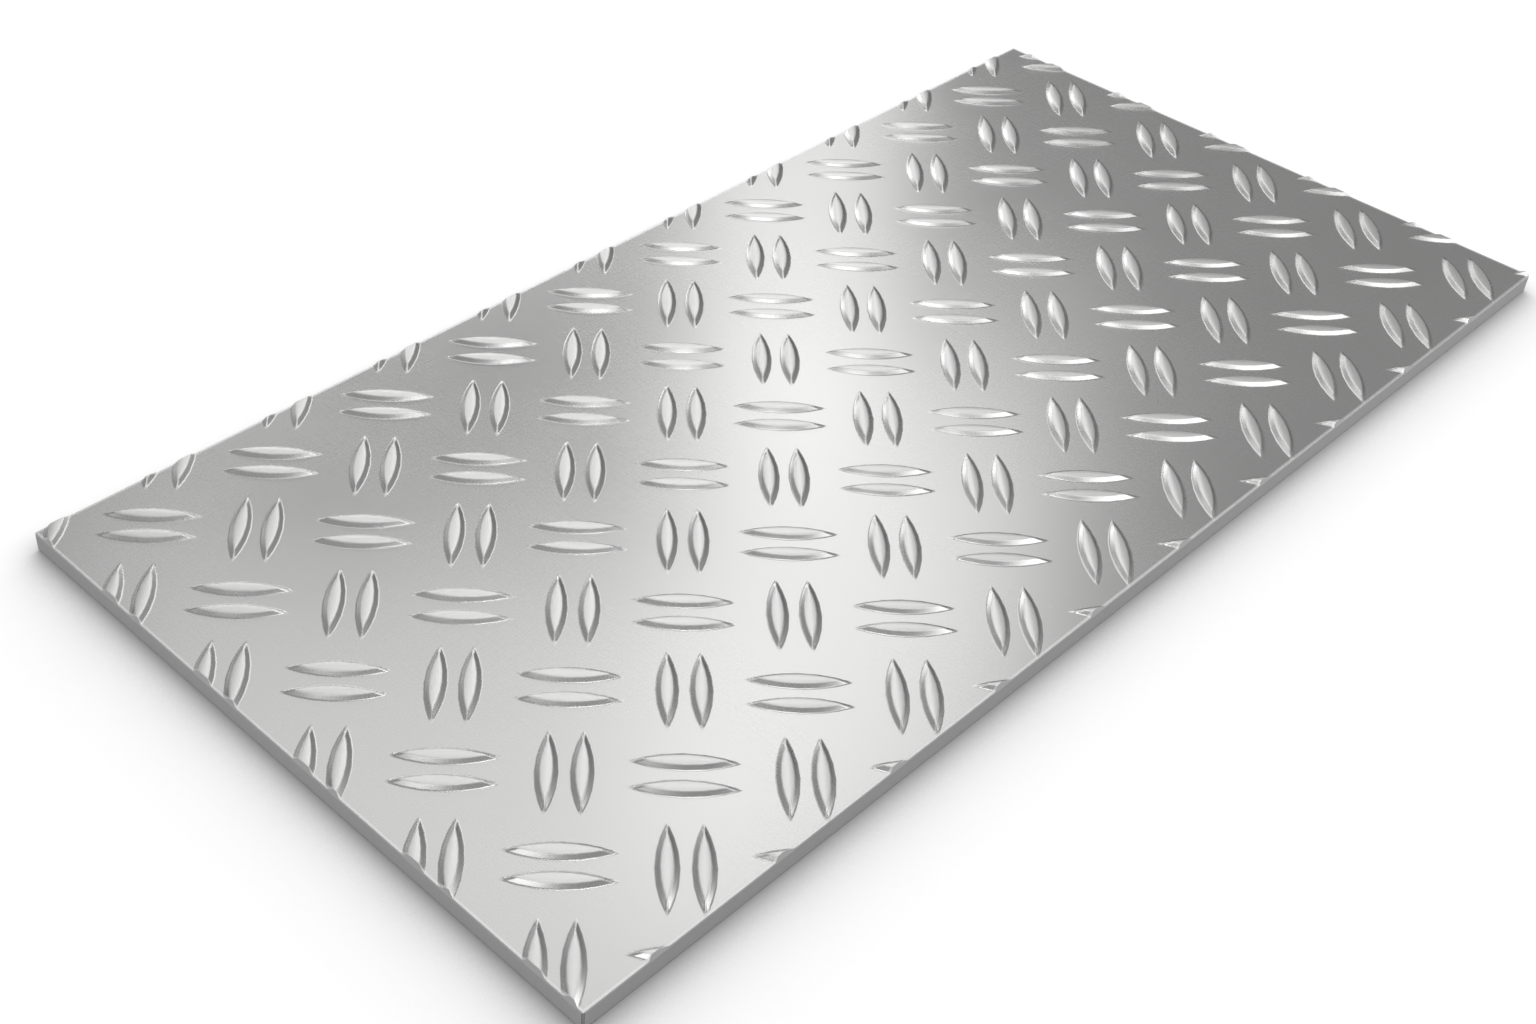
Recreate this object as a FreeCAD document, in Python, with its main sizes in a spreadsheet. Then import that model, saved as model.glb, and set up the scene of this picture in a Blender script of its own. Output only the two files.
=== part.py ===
"""Aluminium checker plate: rolled plate with paired raised bars, cut to a rectangle.

The model follows the mill. Lens-shaped bars stand on a strip in pairs, at 45 degrees to the
strip's edges, and turn a quarter from each pair to the next. A rectangle is then cut from
the strip, through whatever bars the cut happens to meet, and its edges are dressed, so that
a cut bar slopes down to the edge.

Frame, in millimetres: X along the plate's length, Y along its width, Z up.
The origin is the centre of the flat underside.
"""

import FreeCAD, Part
import math
import os

from FreeCAD import Placement, Rotation, Vector

NODE = "checker_plate"

# Driving dimensions in millimetres. Each one becomes a named cell of the spreadsheet.
DIMENSIONS = {
    "plate_length": 500.0,
    "plate_width": 250.0,
    "plate_thickness": 7.0,  # the flat between the bars
    "edge_break": 0.5,  # deburring: how far it reaches down a side, and along at a corner
    "dressing_run": 0.8,  # how far a dressed side leans in by the height of a crest
    "bar_length": 31.0,  # tip to tip, at the foot
    "bar_width": 6.4,  # at the foot, half way along
    "bar_height": 1.2,  # above the flat
    "flank_run": 1.4,  # how far a flank leans in between foot and crest
    "bar_spacing": 10.0,  # between the centre lines of a pair
    "pitch": 47.5,  # from a pair to the next one that points the same way
    "first_along": 4.2,  # from the -X edge to the first column of rising pairs
    "first_across": 15.2,  # from the -Y edge to the first row of rising pairs
}

RISING = 45.0  # direction of one kind of pair, in degrees from +X
FALLING = -45.0  # direction of the other kind, half a pitch away both ways
UNIT_Z = Vector(0, 0, 1)
FLAT = 1e-6  # how far from level, in mm, an edge may be and still count as level


def cell(name):
    """A spreadsheet cell, the way an expression writes it."""
    return "<<Dimensions>>." + name


def bind(thing, expressions):
    """Tie properties of a document object to expressions."""
    for path, expression in expressions.items():
        thing.setExpression(path, expression)


def add_dimensions(doc):
    """The spreadsheet that drives the model, one named number in each row."""
    sheet = doc.addObject("Spreadsheet::Sheet", "Dimensions")
    for row, (name, value) in enumerate(DIMENSIONS.items(), start=1):
        sheet.set(f"A{row}", name)
        sheet.set(f"B{row}", str(value))
        sheet.setAlias(f"B{row}", name)
    doc.recompute()
    return sheet


def add_bar(doc):
    """One bar lying along X with its foot on the XY plane: the overlap of two cones.

    Each cone is one long flank. The foot is an arc through both tips and the flank leans in
    at one slope, so the crest is a smaller lens and a ridge runs down to each tip.
    """
    length = cell("bar_length")
    width = cell("bar_width")
    foot_radius = f"(({length}) ^ 2 + ({width}) ^ 2) / (4 * {width})"
    cones = []
    for name, side in (("left_flank", 1), ("right_flank", -1)):
        cone = doc.addObject("Part::Cone", name)
        bind(cone, {
            "Radius1": foot_radius,
            "Radius2": f"{foot_radius} - {cell('flank_run')}",
            "Height": cell("bar_height"),
            "Placement.Base.y": f"{-side} * ({foot_radius} - {width} / 2)",
        })
        cones.append(cone)
    bar = doc.addObject("Part::Common", "bar")
    bar.Base, bar.Tool = cones
    return bar


def pair_places(sheet):
    """Centre and direction of every pair whose bars can reach the plate, in the XY plane."""
    pitch = sheet.pitch
    reach = sheet.bar_length / 2 + sheet.bar_spacing
    half_length = sheet.plate_length / 2
    half_width = sheet.plate_width / 2
    columns = math.ceil((sheet.plate_length + reach) / pitch) + 2
    rows = math.ceil((sheet.plate_width + reach) / pitch) + 2
    places = []
    for angle, shift in ((RISING, 0.0), (FALLING, pitch / 2)):
        for column in range(-2, columns):
            x = -half_length + sheet.first_along + column * pitch + shift
            for row in range(-2, rows):
                y = -half_width + sheet.first_across + row * pitch + shift
                if abs(x) < half_length + reach and abs(y) < half_width + reach:
                    places.append((Vector(x, y, 0), angle))
    return places


def add_bar_field(doc, sheet, bar):
    """Every bar of the strip as one compound, standing on the flat.

    No primitive or pattern lays out two interleaved grids of pairs, so the copies are placed
    here in code.
    """
    across = Vector(0, sheet.bar_spacing / 2, 0)
    copies = []
    for centre, angle in pair_places(sheet):
        turn = Rotation(UNIT_Z, angle)
        for offset in (across, -across):
            copy = bar.Shape.copy()
            copy.Placement = Placement(centre + turn.multVec(offset), turn)
            copies.append(copy)
    field = doc.addObject("Part::Feature", "bar_field")
    field.Shape = Part.makeCompound(copies)
    bind(field, {"Placement.Base.z": cell("plate_thickness")})
    return field


def add_strip(doc, field):
    """The rolled strip: a flat slab with the bars on it, larger than the plate all round."""
    slab = doc.addObject("Part::Box", "slab")
    spare = f"2 * {cell('pitch')}"
    bind(slab, {
        "Length": f"{cell('plate_length')} + 2 * {spare}",
        "Width": f"{cell('plate_width')} + 2 * {spare}",
        "Height": cell("plate_thickness"),
        "Placement.Base.x": f"-{cell('plate_length')} / 2 - {spare}",
        "Placement.Base.y": f"-{cell('plate_width')} / 2 - {spare}",
    })
    strip = doc.addObject("Part::Fuse", "strip")
    strip.Base = slab
    strip.Tool = field
    return strip


def add_block(doc):
    """The rectangle that is cut out, deburred at its corners and along its underside."""
    body = doc.addObject("PartDesign::Body", "cut_block")
    block = doc.addObject("PartDesign::AdditiveBox", "block")
    body.addObject(block)
    bind(block, {
        "Length": cell("plate_length"),
        "Width": cell("plate_width"),
        "Height": f"{cell('plate_thickness')} + 2 * {cell('bar_height')}",
        "Placement.Base.x": f"-{cell('plate_length')} / 2",
        "Placement.Base.y": f"-{cell('plate_width')} / 2",
    })
    doc.recompute()
    deburr = doc.addObject("PartDesign::Chamfer", "deburr")
    body.addObject(deburr)
    deburr.Base = (block, edges_below_the_top(block.Shape))
    bind(deburr, {"Size": cell("edge_break")})
    return body


def edges_below_the_top(shape):
    """Names of every edge of a block that does not lie in its top face."""
    top = shape.BoundBox.ZMax
    names = []
    for number, edge in enumerate(shape.Edges, start=1):
        if edge.BoundBox.ZMin < top - FLAT:
            names.append(f"Edge{number}")
    return names


def add_dressing(doc):
    """A frustum whose four sides lean in, and leave the block an edge break below the flat.

    A wedge is drawn with its height along Y, so it is turned to stand along Z.
    """
    lean = f"({cell('dressing_run')} / ({cell('bar_height')} + {cell('edge_break')}))"
    start = f"({cell('plate_thickness')} - {cell('edge_break')})"
    top = f"({cell('plate_thickness')} + 2 * {cell('bar_height')})"
    wedge = doc.addObject("Part::Wedge", "dressing")
    for axis, size in (("X", cell("plate_length")), ("Z", cell("plate_width"))):
        low_half = f"({size} / 2 + {lean} * {start})"
        high_half = f"({size} / 2 - {lean} * ({top} - {start}))"
        bind(wedge, {
            f"{axis}min": f"-{low_half}",
            f"{axis}max": low_half,
            f"{axis}2min": f"-{high_half}",
            f"{axis}2max": high_half,
        })
    wedge.Ymin = 0
    bind(wedge, {"Ymax": top})
    wedge.Placement = Placement(Vector(0, 0, 0), Rotation(Vector(1, 0, 0), 90))
    return wedge


def add_plate(doc, strip, block, dressing):
    """The finished plate: what the block and its dressing leave of the strip, one solid."""
    outline = doc.addObject("Part::Common", "outline")
    outline.Base = block
    outline.Tool = dressing
    plate = doc.addObject("Part::Common", NODE)
    plate.Label = NODE
    plate.Base = strip
    plate.Tool = outline
    plate.Refine = True
    plate.Placement = Placement(Vector(0, 0, 0), Rotation())
    return plate


def check(doc, plate):
    """Stop before anything is written if the model did not come out as one sound solid."""
    for thing in doc.Objects:
        if "Invalid" in thing.State or "Error" in thing.State:
            raise RuntimeError(f"{thing.Label} did not recompute: {thing.State}")
    shape = plate.Shape
    if shape.isNull() or not shape.isValid():
        raise RuntimeError(f"{plate.Label} has no valid shape")
    if len(shape.Solids) != 1:
        raise RuntimeError(f"{plate.Label} is {len(shape.Solids)} solids instead of one")


def main():
    doc = FreeCAD.newDocument("CheckerPlate")
    sheet = add_dimensions(doc)
    bar = add_bar(doc)
    doc.recompute()
    field = add_bar_field(doc, sheet, bar)
    strip = add_strip(doc, field)
    plate = add_plate(doc, strip, add_block(doc), add_dressing(doc))
    doc.recompute()
    check(doc, plate)
    os.makedirs("parts", exist_ok=True)
    plate.Shape.exportStep(f"parts/{plate.Label}.step")


main()
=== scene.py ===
"""Looks of the aluminium checker plate, in metres, in the frame of the CAD model."""

import math

import bmesh
import bpy
from mathutils import Matrix, Vector


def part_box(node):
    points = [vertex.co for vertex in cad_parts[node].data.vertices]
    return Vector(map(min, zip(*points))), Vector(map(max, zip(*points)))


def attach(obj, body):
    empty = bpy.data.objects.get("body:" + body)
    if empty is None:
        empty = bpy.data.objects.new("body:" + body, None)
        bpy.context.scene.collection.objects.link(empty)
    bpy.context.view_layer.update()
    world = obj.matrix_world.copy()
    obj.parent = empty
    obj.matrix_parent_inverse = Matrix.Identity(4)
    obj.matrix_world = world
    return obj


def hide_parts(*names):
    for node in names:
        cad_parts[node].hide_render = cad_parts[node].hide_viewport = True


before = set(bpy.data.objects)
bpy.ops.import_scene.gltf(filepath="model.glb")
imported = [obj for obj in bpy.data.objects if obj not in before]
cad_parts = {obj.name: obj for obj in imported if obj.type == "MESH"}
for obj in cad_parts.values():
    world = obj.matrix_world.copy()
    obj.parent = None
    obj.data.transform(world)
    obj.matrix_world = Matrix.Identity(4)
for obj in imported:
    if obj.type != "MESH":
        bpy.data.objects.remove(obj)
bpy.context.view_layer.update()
MM = 0.001

# The rolled pattern, as it is in the CAD model.
THICKNESS = 7.0 * MM  # the flat between the bars
BAR_LENGTH = 31.0 * MM
BAR_WIDTH = 6.4 * MM
BAR_HEIGHT = 1.2 * MM
FLANK_RUN = 1.4 * MM
BAR_SPACING = 10.0 * MM
PITCH = 47.5 * MM
FIRST_ALONG = 4.2 * MM
FIRST_ACROSS = 15.2 * MM
EDGE_BREAK = 0.5 * MM
DRESSING_RUN = 0.8 * MM

# Roundings that the rolls leave and the CAD model doesn't have.
FOOT_BLEND = 0.34 * MM  # half the width of the hollow at a bar's foot
CREST_BLEND = 0.16 * MM  # half the width of the rounding along a crest
SUPPORT = 0.12 * MM  # a strip of flat that keeps the shading of the flats flat

COLUMNS = 8  # faces along each side of a bar
TIP_CROWDING = 1.6  # above 1, the columns are narrower towards a bar's tips
WELD_IN_CELL = 0.002 * MM  # points closer than this become one
WELD_CELLS = 0.005 * MM  # the same, between one cell and the next
ON_RIM = 0.002 * MM  # how near a point must lie to the outline to count as on it
THINNEST = 0.0001 * MM  # nothing on the plate is finer than this
SIDE_LEAN_AT_CORNER = math.tan(math.radians(22.5))  # mitres the lower chamfer at a corner


class Sock:
    """An output socket that Python's own operators can work on."""

    def __init__(self, tree, socket):
        self.tree = tree
        self.socket = socket

    def math(self, operation, *others):
        """One Math node, with this socket first."""
        return self.tree.node("ShaderNodeMath", {"operation": operation}, [self, *others])

    def __add__(self, other):
        return self.math("ADD", other)

    def __radd__(self, other):
        return self.math("ADD", other)

    def __sub__(self, other):
        return self.math("SUBTRACT", other)

    def __rsub__(self, other):
        return self.tree.node("ShaderNodeMath", {"operation": "SUBTRACT"}, [other, self])

    def __mul__(self, other):
        return self.math("MULTIPLY", other)

    def __rmul__(self, other):
        return self.math("MULTIPLY", other)

    def __truediv__(self, other):
        return self.math("DIVIDE", other)

    def __rtruediv__(self, other):
        return self.tree.node("ShaderNodeMath", {"operation": "DIVIDE"}, [other, self])

    def __neg__(self):
        return self.math("MULTIPLY", -1.0)


class Tree:
    """A node tree, and the one method that adds nodes to it."""

    def __init__(self, tree):
        self.tree = tree

    def node(self, kind, settings=None, sockets=None, out=0):
        """Add a node: its settings first, then its sockets by place or name, then an output."""
        node = self.tree.nodes.new(kind)
        for name, value in (settings or {}).items():
            setattr(node, name, value)
        pairs = enumerate(sockets) if isinstance(sockets, list) else (sockets or {}).items()
        for name, value in pairs:
            self.feed(node.inputs[name], value)
        return Sock(self, node.outputs[out]) if node.outputs else node

    def feed(self, socket, value):
        """Link an input socket, or give it a plain value."""
        if isinstance(value, Sock):
            self.tree.links.new(value.socket, socket)
        else:
            socket.default_value = value


# ---------------------------------------------------------------------------------------
# The rolled face: bars, pairs and the two grids of pairs
# ---------------------------------------------------------------------------------------

def new_geometry_tree(name, inputs):
    """An empty geometry tree with named inputs, and its input sockets by name."""
    group = bpy.data.node_groups.new(name, "GeometryNodeTree")
    for label, kind, value in inputs:
        socket = group.interface.new_socket(name=label, in_out="INPUT", socket_type=kind)
        socket.default_value = value
    group.interface.new_socket(name="Mesh", in_out="OUTPUT", socket_type="NodeSocketGeometry")
    tree = Tree(group)
    source = tree.node("NodeGroupInput").socket.node
    return tree, {label: Sock(tree, source.outputs[label]) for label, _, _ in inputs}


def bar_profile(height, run, foot, crest, support):
    """Where each row of a bar's faces lies: how far in from the foot, and how high.

    The first row is the edge of the level crest and the last is out on the flat. The rows
    between them are the two ends of the flank, which leave room for the rounding along the
    crest and for the hollow at the foot, and the outer end of that hollow.
    """
    slope = height.math("ARCTAN2", run)
    cosine = slope.math("COSINE")
    sine = slope.math("SINE")
    inward = [
        run + crest,
        run - crest * cosine,
        foot * cosine,
        -foot,
        -(foot + support),
    ]
    up = [
        height,
        height - crest * sine,
        foot * sine,
        0.0,
        0.0,
    ]
    return inward, up


def switch_by_row(tree, row, values):
    """A field that takes a different value on each row of faces."""
    switch = tree.node("GeometryNodeIndexSwitch", {"data_type": "FLOAT"}, {"Index": row})
    node = switch.socket.node
    while len(node.index_switch_items) < len(values):
        node.index_switch_items.new()
    for place, value in enumerate(values):
        tree.feed(node.inputs[place + 1], value)
    return Sock(tree, node.outputs[0])


def half_bar(tree, size):
    """One side of a bar, split along its length: rows run from the long axis to the flat."""
    inward, up = bar_profile(size["Bar height"], size["Flank run"],
                             size["Foot blend"], size["Crest blend"], size["Support"])
    rows = len(inward) + 1
    grid = tree.node("GeometryNodeMeshGrid", None,
                     {"Size X": 2.0, "Size Y": float(rows - 1),
                      "Vertices X": COLUMNS + 1, "Vertices Y": rows})
    place = tree.node("GeometryNodeInputPosition")
    across = tree.node("ShaderNodeSeparateXYZ", None, [place], out=0)
    row = tree.node("ShaderNodeSeparateXYZ", None, [place], out=1) + (rows - 1) / 2.0
    row = row.math("ROUND")

    # The columns crowd towards the tips, which keeps the ridge there sharp.
    from_tip = (1.0 - across.math("ABSOLUTE")).math("MAXIMUM", 0.0)
    share = (1.0 - from_tip.math("POWER", TIP_CROWDING)) * across.math("SIGN")

    # Each side of a bar is an arc; each row's arc has the same centre and its own radius.
    width = size["Bar width"]
    length = size["Bar length"]
    radius = (length * length + width * width) / (width * 4.0)
    centre = radius - width / 2.0
    offset = switch_by_row(tree, row, [inward[0]] + inward)
    arc = radius - offset
    tip = (arc * arc - centre * centre).math("SQRT")
    x = share * tip
    side = ((arc * arc - x * x).math("SQRT") - centre).math("MAXIMUM", 0.0)
    y = side * row.math("MINIMUM", 1.0)
    z = switch_by_row(tree, row, [up[0]] + up)
    where = tree.node("ShaderNodeCombineXYZ", None, [x, y, z])
    return tree.node("GeometryNodeSetPosition", None, {"Geometry": grid, "Position": where})


def join(tree, *parts):
    """Several geometries as one."""
    joined = tree.node("GeometryNodeJoinGeometry")
    for part in parts:
        tree.feed(joined.socket.node.inputs[0], part)
    return joined


def merge(tree, geometry, distance):
    """Make one point of points that lie closer than the distance."""
    return tree.node("GeometryNodeMergeByDistance", None,
                     {"Geometry": geometry, "Distance": distance})


def shift(tree, geometry, **sockets):
    """Move, turn or mirror a geometry."""
    return tree.node("GeometryNodeTransform", None, {"Geometry": geometry, **sockets})


def pair_cell(tree, size):
    """A square of the rolled face with one pair of bars in it, the bars along X."""
    half = half_bar(tree, size)
    other = tree.node("GeometryNodeFlipFaces", None, [shift(tree, half, Scale=(1, -1, 1))])
    bar = merge(tree, join(tree, half, other), WELD_IN_CELL)
    step = size["Bar spacing"] / 2.0
    up = tree.node("ShaderNodeCombineXYZ", None, [0.0, step, 0.0])
    down = tree.node("ShaderNodeCombineXYZ", None, [0.0, -step, 0.0])
    pair = join(tree, shift(tree, bar, Translation=up), shift(tree, bar, Translation=down))

    # The flat between the bars fills the square around their outlines.
    faces_beside = tree.node("GeometryNodeInputMeshEdgeNeighbors")
    rim = tree.node("FunctionNodeCompare", {"data_type": "INT", "operation": "EQUAL"},
                    {"A": faces_beside, "B": 1})
    outlines = tree.node("GeometryNodeMeshToCurve", None, {"Mesh": pair, "Selection": rim})
    side = size["Pitch"] * math.sqrt(0.5)
    square = tree.node("GeometryNodeCurvePrimitiveQuadrilateral", None,
                       {"Width": side, "Height": side})
    flat = tree.node("GeometryNodeFillCurve", None, [join(tree, square, outlines)])
    return merge(tree, join(tree, pair, flat), WELD_IN_CELL)


def grid_of_pairs(tree, size, cell, angle, offset):
    """One grid of cells, a pitch apart both ways, all turned the same way."""
    pitch = size["Pitch"]
    columns = size["Columns"]
    rows = size["Rows"]
    along = (columns - 1.0) * pitch
    across = (rows - 1.0) * pitch
    grid = tree.node("GeometryNodeMeshGrid", None,
                     {"Size X": along, "Size Y": across,
                      "Vertices X": columns, "Vertices Y": rows})
    centre = tree.node("ShaderNodeCombineXYZ", None,
                       [size["First along"] + along / 2.0 + pitch * offset,
                        size["First across"] + across / 2.0 + pitch * offset, 0.0])
    points = shift(tree, grid, Translation=centre)
    return tree.node("GeometryNodeInstanceOnPoints", None,
                     {"Points": points, "Instance": cell, "Rotation": (0.0, 0.0, angle)})


def rolled_face(low, high, material):
    """The whole rolled face as a plain mesh, at its height, larger than the plate."""
    spare = 3  # cells past the plate, so that every edge is cut from the pattern
    columns = math.ceil((high.x - low.x) / PITCH) + spare
    rows = math.ceil((high.y - low.y) / PITCH) + spare
    inputs = [
        ("Bar length", "NodeSocketFloat", BAR_LENGTH),
        ("Bar width", "NodeSocketFloat", BAR_WIDTH),
        ("Bar height", "NodeSocketFloat", BAR_HEIGHT),
        ("Flank run", "NodeSocketFloat", FLANK_RUN),
        ("Foot blend", "NodeSocketFloat", FOOT_BLEND),
        ("Crest blend", "NodeSocketFloat", CREST_BLEND),
        ("Support", "NodeSocketFloat", SUPPORT),
        ("Bar spacing", "NodeSocketFloat", BAR_SPACING),
        ("Pitch", "NodeSocketFloat", PITCH),
        ("First along", "NodeSocketFloat", low.x + FIRST_ALONG - PITCH),
        ("First across", "NodeSocketFloat", low.y + FIRST_ACROSS - PITCH),
        ("Height", "NodeSocketFloat", THICKNESS),
        ("Columns", "NodeSocketInt", columns),
        ("Rows", "NodeSocketInt", rows),
    ]
    tree, size = new_geometry_tree("rolled_face", inputs)
    cell = pair_cell(tree, size)
    rising = grid_of_pairs(tree, size, cell, math.radians(45), 0.0)
    falling = grid_of_pairs(tree, size, cell, math.radians(-45), 0.5)
    face = tree.node("GeometryNodeRealizeInstances", None, [join(tree, rising, falling)])
    level = tree.node("ShaderNodeCombineXYZ", None, [0.0, 0.0, size["Height"]])
    face = shift(tree, merge(tree, face, WELD_CELLS), Translation=level)
    face = tree.node("GeometryNodeSetShadeSmooth", None, [face])
    face = tree.node("GeometryNodeSetMaterial", None, {"Geometry": face, "Material": material})
    tree.node("NodeGroupOutput", None, [face])

    holder = bpy.data.objects.new("rolled_face", bpy.data.meshes.new("rolled_face"))
    bpy.context.scene.collection.objects.link(holder)
    modifier = holder.modifiers.new("rolled_face", "NODES")
    modifier.node_group = tree.tree
    values = {label: value for label, _, value in inputs}
    for item in tree.tree.interface.items_tree:
        if item.in_out == "INPUT":
            modifier[item.identifier] = values[item.name]
    graph = bpy.context.evaluated_depsgraph_get()
    mesh = bpy.data.meshes.new_from_object(holder.evaluated_get(graph), depsgraph=graph)
    bpy.data.objects.remove(holder)
    return mesh


# ---------------------------------------------------------------------------------------
# The plate: the rolled face cut to size, its dressed edges, sides and underside
# ---------------------------------------------------------------------------------------

def cut_away(bm, point, normal, clear=True):
    """Slice the mesh with a plane and, if asked, drop what lies in front of it."""
    everything = bm.verts[:] + bm.edges[:] + bm.faces[:]
    bmesh.ops.bisect_plane(bm, geom=everything, dist=THINNEST, plane_co=point, plane_no=normal,
                           clear_outer=clear)


def cut_to_outline(bm, high):
    """Cut the rolled face along the leaning planes of the dressed edges and the corners."""
    rise = BAR_HEIGHT + EDGE_BREAK
    for x, y in ((1, 0), (-1, 0), (0, 1), (0, -1)):
        side = Vector((x * high.x, y * high.y, THICKNESS - EDGE_BREAK))
        normal = Vector((x * rise, y * rise, DRESSING_RUN)).normalized()
        cut_away(bm, side, normal)
        cut_away(bm, side - normal * SUPPORT, normal, clear=False)
        beside_corner = Vector((x, y, 0)) * (high.x * abs(x) + high.y * abs(y) - 2 * EDGE_BREAK)
        cut_away(bm, beside_corner, Vector((x, y, 0)), clear=False)
    for x in (1, -1):
        for y in (1, -1):
            corner = Vector((x * (high.x - EDGE_BREAK / 2), y * (high.y - EDGE_BREAK / 2), 0))
            cut_away(bm, corner, Vector((x, y, 0)).normalized())


def rim_in_order(bm):
    """The vertices round the edge of the cut face, in order."""
    follow = {}
    for edge in bm.edges:
        if edge.is_boundary:
            loop = edge.link_loops[0]
            follow[loop.vert] = loop.link_loop_next.vert
    rim = [next(iter(follow))]
    while follow[rim[-1]] is not rim[0]:
        rim.append(follow[rim[-1]])
    return rim


def foot_and_inward(point, high):
    """Where a point of the rim comes down to on the upright side, and the way in from there."""
    x_sign = math.copysign(1.0, point.x)
    y_sign = math.copysign(1.0, point.y)
    low_z = THICKNESS - EDGE_BREAK
    lean = DRESSING_RUN * (point.z - low_z) / (BAR_HEIGHT + EDGE_BREAK)
    on_x = abs(point.x) > high.x - lean - ON_RIM
    on_y = abs(point.y) > high.y - lean - ON_RIM
    on_corner = abs(point.x) + abs(point.y) > high.x + high.y - EDGE_BREAK - ON_RIM
    if on_corner and on_x:
        foot = Vector((x_sign * high.x, y_sign * (high.y - EDGE_BREAK), low_z))
        return foot, Vector((-x_sign, -y_sign * SIDE_LEAN_AT_CORNER, 0))
    if on_corner and on_y:
        foot = Vector((x_sign * (high.x - EDGE_BREAK), y_sign * high.y, low_z))
        return foot, Vector((-x_sign * SIDE_LEAN_AT_CORNER, -y_sign, 0))
    if on_corner:
        foot = Vector((point.x, point.y, low_z))
        return foot, Vector((-x_sign, -y_sign, 0)) * math.sqrt(0.5)
    if on_x:
        return Vector((x_sign * high.x, point.y, low_z)), Vector((-x_sign, 0, 0))
    return Vector((point.x, y_sign * high.y, low_z)), Vector((0, -y_sign, 0))


def column_down(point, high):
    """The points below one point of the rim: dressed edge, side, lower break, underside."""
    foot, inward = foot_and_inward(point, high)
    slant = foot - point
    near = SUPPORT / slant.length
    down = Vector((0, 0, -1))
    beside = 0.25  # the share of the lower chamfer that a supporting row stands in
    corner_top = Vector((foot.x, foot.y, EDGE_BREAK))
    corner_low = Vector((foot.x, foot.y, 0)) + inward * EDGE_BREAK
    bevel = corner_low - corner_top
    return [
        point + slant * near,
        foot - slant * near,
        foot,
        foot + down * SUPPORT,
        corner_top - down * SUPPORT,
        corner_top,
        corner_top + bevel * beside,
        corner_low - bevel * beside,
        corner_low,
        corner_low + inward * SUPPORT,
    ]


def close_below(bm, high):
    """Hang the edges and sides from the rim of the rolled face, and close the underside."""
    rim = rim_in_order(bm)
    columns = [[vert] + [bm.verts.new(p) for p in column_down(vert.co, high)] for vert in rim]
    for left, right in zip(columns, columns[1:] + columns[:1]):
        for row in range(len(left) - 1):
            bm.faces.new((right[row], left[row], left[row + 1], right[row + 1]))
    bm.faces.new([column[-1] for column in columns][::-1])


def make_plate(low, high, material):
    """The plate as one closed mesh, its place in its vertices."""
    mesh = rolled_face(low, high, material)
    mesh.name = "rolled_plate"
    bm = bmesh.new()
    bm.from_mesh(mesh)
    cut_to_outline(bm, high)
    close_below(bm, high)
    bmesh.ops.dissolve_degenerate(bm, dist=THINNEST, edges=bm.edges[:])
    bmesh.ops.recalc_face_normals(bm, faces=bm.faces[:])
    for face in bm.faces:
        face.smooth = True
    bm.to_mesh(mesh)
    bm.free()
    plate = bpy.data.objects.new("rolled_plate", mesh)
    bpy.context.scene.collection.objects.link(plate)
    return plate


# ---------------------------------------------------------------------------------------
# Finish
# ---------------------------------------------------------------------------------------

FLAT_COLOUR = (0.69, 0.69, 0.685, 1.0)
# The colour of the painted highlight on the bar crests and along the dressed rim.
PAINTED_HIGHLIGHT_COLOUR = (0.97, 0.97, 0.962, 1.0)
WHITE = (1.0, 1.0, 1.0, 1.0)
BLACK = (0.0, 0.0, 0.0, 1.0)
FLOOR_GREY = (0.42, 0.42, 0.42, 1.0)


def stretched_noise(tree, place, size_x, size_y, detail):
    """Noise drawn out into streaks: its grain is size_x by size_y metres."""
    scaled = tree.node("ShaderNodeVectorMath", {"operation": "MULTIPLY"},
                       [place, (1.0 / size_x, 1.0 / size_y, 1.0 / size_y)])
    return tree.node("ShaderNodeTexNoise", None,
                     {"Vector": scaled, "Scale": 1.0, "Detail": detail, "Roughness": 0.6})


def mix_colours(tree, share, first, second):
    """The first colour where the share is 0, the second where it is 1."""
    first_input, second_input, colour_output = 6, 7, 2
    return tree.node("ShaderNodeMix", {"data_type": "RGBA"},
                     {0: share, first_input: first, second_input: second}, out=colour_output)


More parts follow.
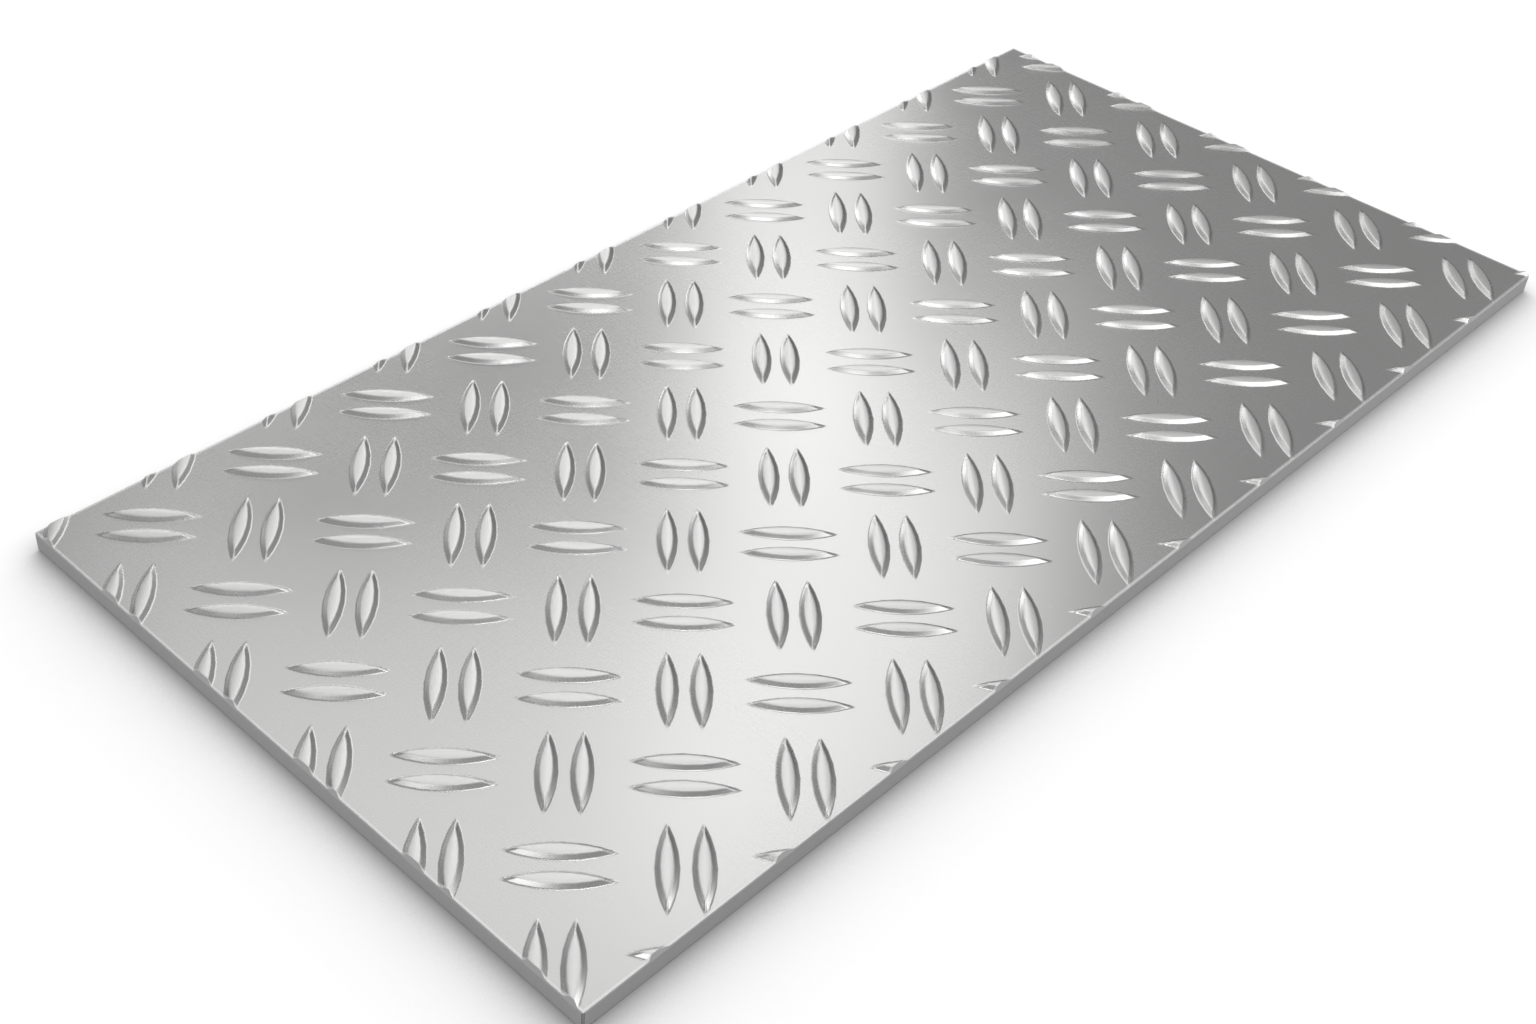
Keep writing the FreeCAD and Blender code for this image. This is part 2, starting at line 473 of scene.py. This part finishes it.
def mill_aluminium(high):
    """Bright rolled aluminium: satin, finely scratched both ways, with a painted highlight on
    crests and rim.
    """
    material = bpy.data.materials.new("mill_aluminium")
    material.use_nodes = True
    material.node_tree.nodes.clear()
    tree = Tree(material.node_tree)
    place = tree.node("ShaderNodeTexCoord", out=3)  # object coordinates
    x, y, z = (tree.node("ShaderNodeSeparateXYZ", None, [place], out=axis) for axis in range(3))

    along = stretched_noise(tree, place, 30 * MM, 0.25 * MM, 3.0)
    across = stretched_noise(tree, place, 0.25 * MM, 22 * MM, 3.0)
    scratches = (along + across) / 2.0
    cloud = tree.node("ShaderNodeTexNoise", None, {"Vector": place, "Scale": 14.0, "Detail": 4.0})

    # Painted highlight: the base colour is lightened on the bar crests and along the dressed rim,
    # which are also made a little rougher.
    crest = tree.node("ShaderNodeMapRange", None,
                      [z, THICKNESS + 0.75 * BAR_HEIGHT, THICKNESS + BAR_HEIGHT, 0.0, 1.0])
    beyond = (x.math("ABSOLUTE") - high.x).math("MAXIMUM", y.math("ABSOLUTE") - high.y)
    outer = tree.node("ShaderNodeMapRange", None,
                      [beyond, -1.5 * DRESSING_RUN, -DRESSING_RUN, 0.0, 1.0])
    above_side = tree.node("ShaderNodeMapRange", None,
                           [z, THICKNESS - 1.4 * EDGE_BREAK, THICKNESS - EDGE_BREAK, 0.0, 1.0])
    painted_highlight_mask = crest.math("MAXIMUM", outer * above_side)

    bump = tree.node("ShaderNodeBump", None,
                     {"Strength": 0.04, "Distance": 0.05 * MM, "Height": scratches})
    rough = 0.27 + (scratches - 0.5) * 0.05 + (cloud - 0.5) * 0.05 + painted_highlight_mask * 0.16
    # The share of the painted highlight colour: the painted highlight on crests and rim, plus
    # cloudy tone and scratches.
    bright = painted_highlight_mask * 0.85 + (cloud - 0.5) * 0.25 + (scratches - 0.5) * 0.2 + 0.1
    colour = mix_colours(tree, bright, FLAT_COLOUR, PAINTED_HIGHLIGHT_COLOUR)
    shader = tree.node("ShaderNodeBsdfPrincipled", None,
                       {"Base Color": colour, "Metallic": 1.0, "Roughness": rough, "Normal": bump})
    tree.node("ShaderNodeOutputMaterial", None, [shader])
    return material


# ---------------------------------------------------------------------------------------
# Stage: floor, light and camera
# ---------------------------------------------------------------------------------------

def pale_floor(glow):
    """A white floor that keeps the plate's shadow.

    The floor itself is pale grey. What it lacks of white is made up by a glow, for the
    camera and for what the metal mirrors only. The glow fades close to the plate, where an
    ambient-occlusion test finds the sky hidden: this fading is a painted contact shadow. The
    test leans to the back, so that there is no painted shade along the far edges.
    """
    material = bpy.data.materials.new("pale_floor")
    material.use_nodes = True
    material.node_tree.nodes.clear()
    tree = Tree(material.node_tree)
    camera_ray = tree.node("ShaderNodeLightPath", out=0)
    glossy_ray = tree.node("ShaderNodeLightPath", out=3)
    clear_ray = tree.node("ShaderNodeLightPath", out=6)
    seen = camera_ray.math("MAXIMUM", glossy_ray).math("MAXIMUM", clear_ray)
    toward_back = tree.node("ShaderNodeCombineXYZ", None, [0.25, 0.25, 0.93])
    painted_shadow_width = 60 * MM
    open_sky = tree.node("ShaderNodeAmbientOcclusion", {"samples": 8},
                         {"Distance": painted_shadow_width, "Normal": toward_back}, out=1)
    # Painted contact shadow: the glow darkens where the ambient-occlusion test finds the plate
    # near.
    glow_with_painted_shadow = seen * open_sky.math("POWER", 2.2)
    colour = mix_colours(tree, glow_with_painted_shadow, BLACK, WHITE)
    matt = tree.node("ShaderNodeBsdfDiffuse", None, [FLOOR_GREY])
    light = tree.node("ShaderNodeEmission", None, [colour, glow])
    both = tree.node("ShaderNodeAddShader", None, [matt, light])
    tree.node("ShaderNodeOutputMaterial", None, [both])
    bm = bmesh.new()
    half_width = 6.0
    bmesh.ops.create_grid(bm, x_segments=1, y_segments=1, size=half_width)
    mesh = bpy.data.meshes.new("floor")
    bm.to_mesh(mesh)
    bm.free()
    floor = bpy.data.objects.new("floor", mesh)
    floor.data.materials.append(material)
    bpy.context.scene.collection.objects.link(floor)


def softbox(name, place, aim, width, height, brightness):
    """A rectangular soft light at a place, turned to an aim; its face is brightness x white."""
    light = bpy.data.lights.new(name, "AREA")
    light.shape = "RECTANGLE"
    light.size = width
    light.size_y = height
    light.energy = brightness * math.pi * width * height
    lamp = bpy.data.objects.new(name, light)
    lamp.location = place
    lamp.rotation_euler = (Vector(aim) - Vector(place)).to_track_quat("-Z", "Y").to_euler()
    bpy.context.scene.collection.objects.link(lamp)


def studio_world(low, high):
    """Even light from all round, dimmer towards the horizon."""
    world = bpy.data.worlds.new("studio")
    world.use_nodes = True
    world.node_tree.nodes.clear()
    tree = Tree(world.node_tree)
    toward = tree.node("ShaderNodeTexCoord", out=0)
    rise = tree.node("ShaderNodeSeparateXYZ", None, [toward], out=2)
    full_from = 0.42  # the sine of the height over the horizon, about 25 degrees
    share = tree.node("ShaderNodeMapRange", None, [rise, 0.0, full_from, 0.0, 1.0])
    dim = tree.node("ShaderNodeBackground", None, [WHITE, low])
    full = tree.node("ShaderNodeBackground", None, [WHITE, high])
    both = tree.node("ShaderNodeMixShader", None, [share, dim, full])
    tree.node("ShaderNodeOutputWorld", None, [both])
    bpy.context.scene.world = world


def three_quarter_camera():
    """Looks down on the plate from beyond its near corner."""
    azimuth = math.radians(-46.79)
    elevation = math.radians(39.57)
    roll = math.radians(2.77)
    distance = 653.5 * MM
    target = Vector((-96.7 * MM, -1.6 * MM, THICKNESS))
    back = Vector((math.sin(azimuth) * math.cos(elevation),
                   -math.cos(azimuth) * math.cos(elevation), math.sin(elevation)))
    right = Vector((0, 0, 1)).cross(back).normalized()
    up = back.cross(right)
    across = math.cos(roll) * right + math.sin(roll) * up
    over = -math.sin(roll) * right + math.cos(roll) * up
    data = bpy.data.cameras.new("camera")
    data.lens = 47.63
    data.shift_x = 0.065
    data.clip_start = 0.01
    camera = bpy.data.objects.new("camera", data)
    place = target + back * distance
    turn = Matrix((across, over, back)).transposed()
    camera.matrix_world = Matrix.Translation(place) @ turn.to_4x4()
    bpy.context.scene.collection.objects.link(camera)
    bpy.context.scene.camera = camera


# ---------------------------------------------------------------------------------------
# The whole scene
# ---------------------------------------------------------------------------------------

low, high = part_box("checker_plate")
plate = make_plate(low, high, mill_aluminium(high))
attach(plate, "root")
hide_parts("checker_plate")

pale_floor(0.78)
studio_world(0.08, 0.29)
softbox("strip_high", (0.755, 0.53, 1.00), (0.0, 0.0, 0.35), 0.34, 0.60, 1.04)
softbox("strip_low", (0.69, 0.61, 0.50), (0.0, 0.0, 0.25), 0.18, 0.42, 0.92)
softbox("overhead", (0.21, 0.50, 0.87), (-0.1, 0.0, 0.0), 0.5, 0.52, 0.63)
softbox("far_left", (0.52, 0.99, 0.42), (0.2, 0.0, 0.0), 0.5, 0.22, 2.1)
softbox("low_left", (0.10, 1.20, 0.24), (0.0, 0.0, 0.0), 0.8, 0.22, 0.55)
softbox("left_back", (0.10, 0.87, 0.74), (0.1, 0.0, 0.0), 0.34, 0.26, 0.22)
softbox("near_left", (-0.66, -0.15, 0.68), (-0.1, 0.0, 0.0), 0.32, 0.30, 2.0)
softbox("near_right", (0.28, -0.42, 0.70), (0.2, 0.0, 0.0), 0.5, 0.45, 1.6)
softbox("zenith", (0.0, 0.0, 1.40), (0.0, 0.0, 0.0), 0.35, 0.35, 2.6)
softbox("key_left", (-0.89, 0.76, 0.84), (-0.1, 0.0, 0.0), 0.6, 0.5, 1.6)
softbox("key_right", (0.91, -0.67, 0.76), (0.0, 0.0, 0.0), 0.6, 0.5, 1.6)
three_quarter_camera()
bpy.context.scene.view_settings.view_transform = "Standard"
